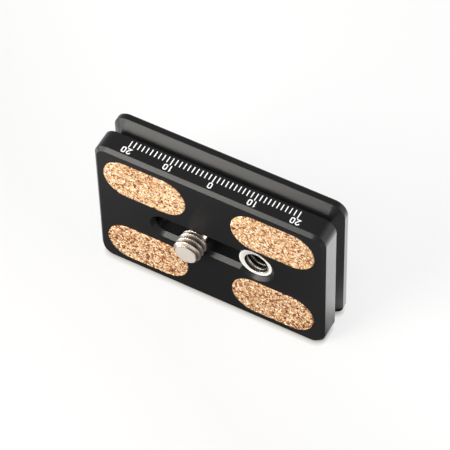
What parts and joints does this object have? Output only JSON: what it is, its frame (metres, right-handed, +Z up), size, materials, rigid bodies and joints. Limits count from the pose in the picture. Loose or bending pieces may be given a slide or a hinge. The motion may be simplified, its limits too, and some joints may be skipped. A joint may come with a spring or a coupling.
{
  "type": "quick release plate",
  "caption": "Flat black camera plate with dovetail edges, inlaid cork pads, a sliding captive camera screw with a folding wire bail, and a threaded steel bush.",
  "frame": {"origin": "middle of the camera block's lower side wall, on the surface that the plate stands on", "axes": "+X along the plate, +Y from the camera face to the dovetail base, +Z up across the plate's width"},
  "size_m": [0.055, 0.0152, 0.038],
  "materials": {
    "anodised": "black anodised, fine satin",
    "cork": "pressed granulated cork, matte",
    "bush_steel": "turned stainless steel",
    "washer_steel": "flat stainless steel",
    "screw_steel": "turned stainless steel, bright",
    "bail_steel": "bent stainless wire, bright"
  },
  "bodies": {
    "plate": {"plate_body": "anodised", "cork_pad_upper_left": "cork", "cork_pad_upper_right": "cork", "cork_pad_lower_left": "cork", "cork_pad_lower_right": "cork", "thread_bush": "bush_steel"},
    "carriage": {"head_washer": "washer_steel"},
    "screw": {"camera_screw": "screw_steel"},
    "bail": {"d_ring": "bail_steel"}
  },
  "joints": [
    {"name": "screw_slide", "type": "slide", "parent": "plate", "child": "carriage", "axis": [1, 0, 0], "range_m": [-0.0075, 0.0077]},
    {"name": "screw_spin", "type": "hinge", "parent": "carriage", "child": "screw", "pos_m": [-0.0035, 0, 0.019], "axis": [0, 1, 0], "continuous": true},
    {"name": "bail_flip", "type": "hinge", "parent": "screw", "child": "bail", "pos_m": [-0.0035, 0.0057, 0.019], "axis": [1, 0, 0], "range_deg": [0, 180]}
  ]
}
